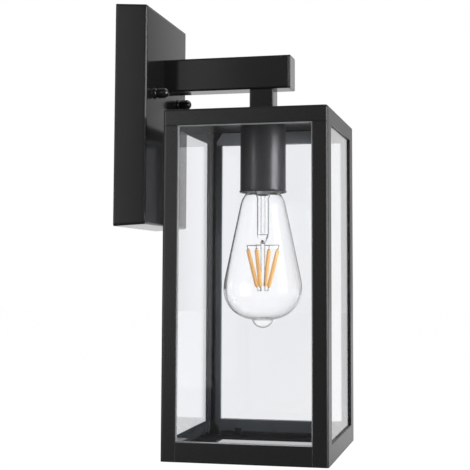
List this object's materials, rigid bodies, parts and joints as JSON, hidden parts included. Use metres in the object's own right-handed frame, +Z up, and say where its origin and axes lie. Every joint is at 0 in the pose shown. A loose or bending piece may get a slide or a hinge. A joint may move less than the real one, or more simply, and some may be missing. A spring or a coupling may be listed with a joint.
{
  "type": "outdoor wall lantern",
  "caption": "Square glazed outdoor wall lantern hung by a short stem from an arm on a rectangular wall plate, with an open foot and a clear filament-style bulb.",
  "frame": {"origin": "middle of the mounting bar's back face, on the wall plane and on the axis of the electrical box", "axes": "+Y into the wall, -Y to the lantern's front, +Z up, +X to the right as seen from the front"},
  "size_m": [0.13, 0.175, 0.36],
  "materials": {
    "black_paint": "satin black powder coat",
    "zinc": "zinc plated",
    "green_screw": "green lacquered steel",
    "tinned_copper": "tinned",
    "copper": "bare copper",
    "foam": "closed-cell foam",
    "rubber": "moulded rubber",
    "porcelain": "glazed porcelain",
    "brass": "stamped",
    "nickel": "nickel plated",
    "solder": "soldered",
    "black_glass": "black glass",
    "clear_glass": "clear",
    "sealant": "clear silicone",
    "amber_coating": "silicone-phosphor coating",
    "black_sleeve": "PVC sleeve",
    "white_sleeve": "PVC sleeve"
  },
  "bodies": {
    "fixture": {"backplate": "black_paint", "wall_gasket": "foam", "mounting_bar": "zinc", "mounting_studs": "zinc", "stud_lock_nuts": "zinc", "ground_screw": "green_screw", "ground_terminal": "tinned_copper", "ground_wire": "copper", "arm": "black_paint", "arm_end_cap": "black_paint", "arm_anchor": "zinc", "arm_screws": "zinc", "lead_grommet": "rubber", "stem": "black_paint", "stem_end_plate": "zinc", "roof": "black_paint", "pane_clips": "black_paint", "socket_cup": "black_paint", "threaded_nipple": "zinc", "nipple_washer": "zinc", "nipple_nut": "zinc", "holder_cap": "zinc", "lamp_holder": "porcelain", "screw_shell": "brass", "centre_contact": "brass", "live_lead": "black_sleeve", "neutral_lead": "white_sleeve", "post_front_left": "black_paint", "post_front_right": "black_paint", "post_back_left": "black_paint", "post_back_right": "black_paint", "base_rail_front": "black_paint", "pane_front": "clear_glass", "sealant_front": "sealant", "base_rail_right": "black_paint", "pane_right": "clear_glass", "sealant_right": "sealant", "base_rail_back": "black_paint", "pane_back": "clear_glass", "sealant_back": "sealant", "base_rail_left": "black_paint", "pane_left": "clear_glass", "sealant_left": "sealant"},
    "bulb": {"bulb_glass": "clear_glass", "bulb_base_shell": "nickel", "bulb_insulator": "black_glass", "bulb_contact": "solder", "bulb_mount": "clear_glass", "bulb_filaments": "amber_coating", "bulb_carriers": "nickel"},
    "cap_nut_left": {"cap_nut_left": "black_paint"},
    "cap_nut_right": {"cap_nut_right": "black_paint"}
  },
  "joints": [
    {"name": "bulb_out", "type": "slide", "parent": "fixture", "child": "bulb", "axis": [0, 0, -1], "range_m": [0, 0.25]},
    {"name": "cap_nut_left_turn", "type": "hinge", "parent": "fixture", "child": "cap_nut_left", "pos_m": [-0.03, -0.026, 0], "axis": [0, 1, 0], "continuous": true},
    {"name": "cap_nut_right_turn", "type": "hinge", "parent": "fixture", "child": "cap_nut_right", "pos_m": [0.03, -0.026, 0], "axis": [0, 1, 0], "continuous": true}
  ]
}
